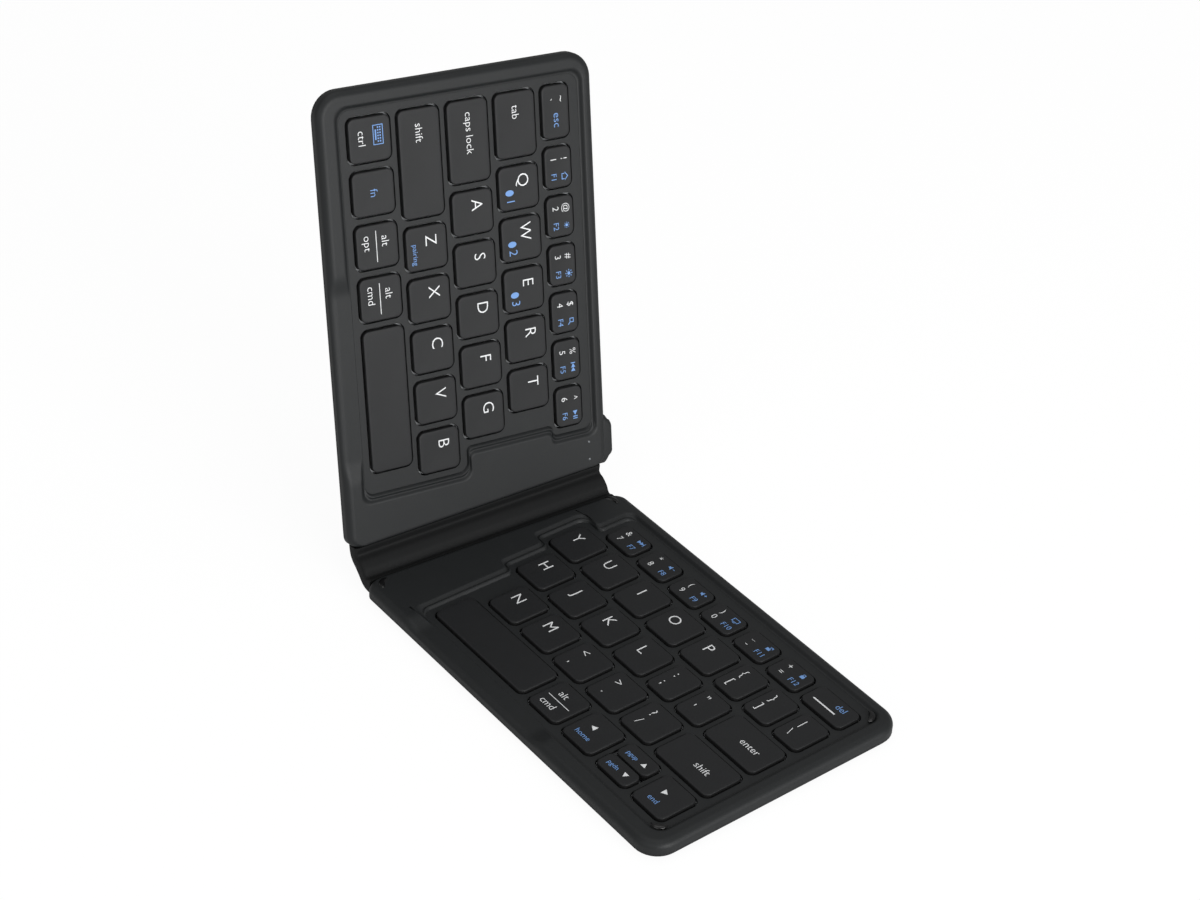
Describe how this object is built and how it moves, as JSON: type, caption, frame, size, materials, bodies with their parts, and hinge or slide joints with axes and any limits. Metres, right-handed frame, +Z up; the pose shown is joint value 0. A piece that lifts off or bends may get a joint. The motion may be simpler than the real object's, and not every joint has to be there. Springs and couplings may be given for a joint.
{
  "type": "folding keyboard",
  "caption": "Thin folding keyboard: two hard halves with a stepped key well in each, joined by a soft spine with two creases, drawn part-way folded.",
  "frame": {"origin": "Middle of the right half's flat underside, which lies on the table", "axes": "+Z up out of the right half's keys, the two creases run along Y, +X from the spine to the right half's outer side, +Y to the number row"},
  "size_m": [0.1923, 0.1037, 0.1472],
  "materials": {
    "case_shell": "fine moulded texture",
    "soft_touch": "soft-touch paint",
    "key_deck": "fine moulded texture",
    "key_cap": "satin moulded",
    "steel": "rolled",
    "magnet": "nickel plated",
    "membrane": "printed film",
    "dome_rubber": "silicone",
    "foot_rubber": "matt",
    "pad": "glossy",
    "strap": "soft-touch elastomer",
    "ribbon": "polyimide film",
    "board": "solder mask",
    "cell": "foil pouch",
    "port": "stamped",
    "light_pipe": "clear",
    "switch": "moulded"
  },
  "bodies": {
    "right_half": {"right_case": "case_shell", "right_cover": "soft_touch", "right_deck": "key_deck", "right_plate": "steel", "right_membrane": "membrane", "right_domes": "dome_rubber", "right_feet": "foot_rubber", "right_screws": "steel", "right_magnet": "magnet", "corner_pads": "pad"},
    "spine": {"spine_bar": "case_shell", "hinge_skin": "strap", "ribbon_cable": "ribbon"},
    "left_half": {"left_case": "case_shell", "left_cover": "soft_touch", "left_deck": "key_deck", "left_plate": "steel", "left_membrane": "membrane", "left_domes": "dome_rubber", "left_feet": "foot_rubber", "left_screws": "steel", "left_magnet": "magnet", "controller_board": "board", "battery": "cell", "charge_port": "port", "light_pipes": "light_pipe", "switch_base": "switch"},
    "power_slider": {"power_slider": "switch"},
    "escape_key": {"escape_key": "key_cap"},
    "left_number_keys": {"left_number_keys": "key_cap"},
    "tab_key": {"tab_key": "key_cap"},
    "qwert_keys": {"qwert_keys": "key_cap"},
    "caps_lock_key": {"caps_lock_key": "key_cap"},
    "asdfg_keys": {"asdfg_keys": "key_cap"},
    "left_shift_key": {"left_shift_key": "key_cap"},
    "zxcvb_keys": {"zxcvb_keys": "key_cap"},
    "ctrl_key": {"ctrl_key": "key_cap"},
    "fn_key": {"fn_key": "key_cap"},
    "left_option_key": {"left_option_key": "key_cap"},
    "left_command_key": {"left_command_key": "key_cap"},
    "left_space_key": {"left_space_key": "key_cap"},
    "right_number_keys": {"right_number_keys": "key_cap"},
    "delete_key": {"delete_key": "key_cap"},
    "yuiop_keys": {"yuiop_keys": "key_cap"},
    "left_bracket_key": {"left_bracket_key": "key_cap"},
    "right_bracket_key": {"right_bracket_key": "key_cap"},
    "backslash_key": {"backslash_key": "key_cap"},
    "hjkl_keys": {"hjkl_keys": "key_cap"},
    "semicolon_key": {"semicolon_key": "key_cap"},
    "quote_key": {"quote_key": "key_cap"},
    "enter_key": {"enter_key": "key_cap"},
    "nm_keys": {"nm_keys": "key_cap"},
    "punctuation_keys": {"punctuation_keys": "key_cap"},
    "right_shift_key": {"right_shift_key": "key_cap"},
    "right_space_key": {"right_space_key": "key_cap"},
    "right_command_key": {"right_command_key": "key_cap"},
    "home_arrow_key": {"home_arrow_key": "key_cap"},
    "page_up_key": {"page_up_key": "key_cap"},
    "page_down_key": {"page_down_key": "key_cap"},
    "end_arrow_key": {"end_arrow_key": "key_cap"}
  },
  "joints": [
    {"name": "spine_fold", "type": "hinge", "parent": "right_half", "child": "spine", "pos_m": [-0.07043, 0, 0.0023], "axis": [0, 1, 0], "range_deg": [-37.1, 52.9], "deforming": ["hinge_skin", "ribbon_cable"]},
    {"name": "left_fold", "type": "hinge", "parent": "spine", "child": "left_half", "pos_m": [-0.0776, 0, 0.00773], "axis": [0, 1, 0], "range_deg": [-37.1, 52.9], "deforming": ["hinge_skin", "ribbon_cable"]},
    {"name": "power_slide", "type": "slide", "parent": "left_half", "child": "power_slider", "axis": [-0.2714, 0.0809, 0.9591], "range_m": [0, 0.002]},
    {"name": "escape_key_press", "type": "slide", "parent": "left_half", "child": "escape_key", "axis": [-0.9622, 0, -0.2723], "range_m": [0, 0.0012], "stiffness_N_per_m": 300, "springref_m": -0.0004, "deforming": ["left_domes"]},
    {"name": "left_number_keys_press", "type": "slide", "parent": "left_half", "child": "left_number_keys", "axis": [-0.9622, 0, -0.2723], "range_m": [0, 0.0012], "stiffness_N_per_m": 1800, "springref_m": -0.0004, "deforming": ["left_domes"]},
    {"name": "tab_key_press", "type": "slide", "parent": "left_half", "child": "tab_key", "axis": [-0.9622, 0, -0.2723], "range_m": [0, 0.0012], "stiffness_N_per_m": 300, "springref_m": -0.0004, "deforming": ["left_domes"]},
    {"name": "qwert_keys_press", "type": "slide", "parent": "left_half", "child": "qwert_keys", "axis": [-0.9622, 0, -0.2723], "range_m": [0, 0.0012], "stiffness_N_per_m": 1500, "springref_m": -0.0004, "deforming": ["left_domes"]},
    {"name": "caps_lock_key_press", "type": "slide", "parent": "left_half", "child": "caps_lock_key", "axis": [-0.9622, 0, -0.2723], "range_m": [0, 0.0012], "stiffness_N_per_m": 300, "springref_m": -0.0004, "deforming": ["left_domes"]},
    {"name": "asdfg_keys_press", "type": "slide", "parent": "left_half", "child": "asdfg_keys", "axis": [-0.9622, 0, -0.2723], "range_m": [0, 0.0012], "stiffness_N_per_m": 1500, "springref_m": -0.0004, "deforming": ["left_domes"]},
    {"name": "left_shift_key_press", "type": "slide", "parent": "left_half", "child": "left_shift_key", "axis": [-0.9622, 0, -0.2723], "range_m": [0, 0.0012], "stiffness_N_per_m": 300, "springref_m": -0.0004, "deforming": ["left_domes"]},
    {"name": "zxcvb_keys_press", "type": "slide", "parent": "left_half", "child": "zxcvb_keys", "axis": [-0.9622, 0, -0.2723], "range_m": [0, 0.0012], "stiffness_N_per_m": 1500, "springref_m": -0.0004, "deforming": ["left_domes"]},
    {"name": "ctrl_key_press", "type": "slide", "parent": "left_half", "child": "ctrl_key", "axis": [-0.9622, 0, -0.2723], "range_m": [0, 0.0012], "stiffness_N_per_m": 300, "springref_m": -0.0004, "deforming": ["left_domes"]},
    {"name": "fn_key_press", "type": "slide", "parent": "left_half", "child": "fn_key", "axis": [-0.9622, 0, -0.2723], "range_m": [0, 0.0012], "stiffness_N_per_m": 300, "springref_m": -0.0004, "deforming": ["left_domes"]},
    {"name": "left_option_key_press", "type": "slide", "parent": "left_half", "child": "left_option_key", "axis": [-0.9622, 0, -0.2723], "range_m": [0, 0.0012], "stiffness_N_per_m": 300, "springref_m": -0.0004, "deforming": ["left_domes"]},
    {"name": "left_command_key_press", "type": "slide", "parent": "left_half", "child": "left_command_key", "axis": [-0.9622, 0, -0.2723], "range_m": [0, 0.0012], "stiffness_N_per_m": 300, "springref_m": -0.0004, "deforming": ["left_domes"]},
    {"name": "left_space_key_press", "type": "slide", "parent": "left_half", "child": "left_space_key", "axis": [-0.9622, 0, -0.2723], "range_m": [0, 0.0012], "stiffness_N_per_m": 300, "springref_m": -0.0004, "deforming": ["left_domes"]},
    {"name": "right_number_keys_press", "type": "slide", "parent": "right_half", "child": "right_number_keys", "axis": [0, 0, -1], "range_m": [0, 0.0012], "stiffness_N_per_m": 1800, "springref_m": -0.0004, "deforming": ["right_domes"]},
    {"name": "delete_key_press", "type": "slide", "parent": "right_half", "child": "delete_key", "axis": [0, 0, -1], "range_m": [0, 0.0012], "stiffness_N_per_m": 300, "springref_m": -0.0004, "deforming": ["right_domes"]},
    {"name": "yuiop_keys_press", "type": "slide", "parent": "right_half", "child": "yuiop_keys", "axis": [0, 0, -1], "range_m": [0, 0.0012], "stiffness_N_per_m": 1500, "springref_m": -0.0004, "deforming": ["right_domes"]},
    {"name": "left_bracket_key_press", "type": "slide", "parent": "right_half", "child": "left_bracket_key", "axis": [0, 0, -1], "range_m": [0, 0.0012], "stiffness_N_per_m": 300, "springref_m": -0.0004, "deforming": ["right_domes"]},
    {"name": "right_bracket_key_press", "type": "slide", "parent": "right_half", "child": "right_bracket_key", "axis": [0, 0, -1], "range_m": [0, 0.0012], "stiffness_N_per_m": 300, "springref_m": -0.0004, "deforming": ["right_domes"]},
    {"name": "backslash_key_press", "type": "slide", "parent": "right_half", "child": "backslash_key", "axis": [0, 0, -1], "range_m": [0, 0.0012], "stiffness_N_per_m": 300, "springref_m": -0.0004, "deforming": ["right_domes"]},
    {"name": "hjkl_keys_press", "type": "slide", "parent": "right_half", "child": "hjkl_keys", "axis": [0, 0, -1], "range_m": [0, 0.0012], "stiffness_N_per_m": 1200, "springref_m": -0.0004, "deforming": ["right_domes"]},
    {"name": "semicolon_key_press", "type": "slide", "parent": "right_half", "child": "semicolon_key", "axis": [0, 0, -1], "range_m": [0, 0.0012], "stiffness_N_per_m": 300, "springref_m": -0.0004, "deforming": ["right_domes"]},
    {"name": "quote_key_press", "type": "slide", "parent": "right_half", "child": "quote_key", "axis": [0, 0, -1], "range_m": [0, 0.0012], "stiffness_N_per_m": 300, "springref_m": -0.0004, "deforming": ["right_domes"]},
    {"name": "enter_key_press", "type": "slide", "parent": "right_half", "child": "enter_key", "axis": [0, 0, -1], "range_m": [0, 0.0012], "stiffness_N_per_m": 300, "springref_m": -0.0004, "deforming": ["right_domes"]},
    {"name": "nm_keys_press", "type": "slide", "parent": "right_half", "child": "nm_keys", "axis": [0, 0, -1], "range_m": [0, 0.0012], "stiffness_N_per_m": 600, "springref_m": -0.0004, "deforming": ["right_domes"]},
    {"name": "punctuation_keys_press", "type": "slide", "parent": "right_half", "child": "punctuation_keys", "axis": [0, 0, -1], "range_m": [0, 0.0012], "stiffness_N_per_m": 900, "springref_m": -0.0004, "deforming": ["right_domes"]},
    {"name": "right_shift_key_press", "type": "slide", "parent": "right_half", "child": "right_shift_key", "axis": [0, 0, -1], "range_m": [0, 0.0012], "stiffness_N_per_m": 300, "springref_m": -0.0004, "deforming": ["right_domes"]},
    {"name": "right_space_key_press", "type": "slide", "parent": "right_half", "child": "right_space_key", "axis": [0, 0, -1], "range_m": [0, 0.0012], "stiffness_N_per_m": 300, "springref_m": -0.0004, "deforming": ["right_domes"]},
    {"name": "right_command_key_press", "type": "slide", "parent": "right_half", "child": "right_command_key", "axis": [0, 0, -1], "range_m": [0, 0.0012], "stiffness_N_per_m": 300, "springref_m": -0.0004, "deforming": ["right_domes"]},
    {"name": "home_arrow_key_press", "type": "slide", "parent": "right_half", "child": "home_arrow_key", "axis": [0, 0, -1], "range_m": [0, 0.0012], "stiffness_N_per_m": 300, "springref_m": -0.0004, "deforming": ["right_domes"]},
    {"name": "page_up_key_press", "type": "slide", "parent": "right_half", "child": "page_up_key", "axis": [0, 0, -1], "range_m": [0, 0.0012], "stiffness_N_per_m": 300, "springref_m": -0.0004, "deforming": ["right_domes"]},
    {"name": "page_down_key_press", "type": "slide", "parent": "right_half", "child": "page_down_key", "axis": [0, 0, -1], "range_m": [0, 0.0012], "stiffness_N_per_m": 300, "springref_m": -0.0004, "deforming": ["right_domes"]},
    {"name": "end_arrow_key_press", "type": "slide", "parent": "right_half", "child": "end_arrow_key", "axis": [0, 0, -1], "range_m": [0, 0.0012], "stiffness_N_per_m": 300, "springref_m": -0.0004, "deforming": ["right_domes"]}
  ]
}
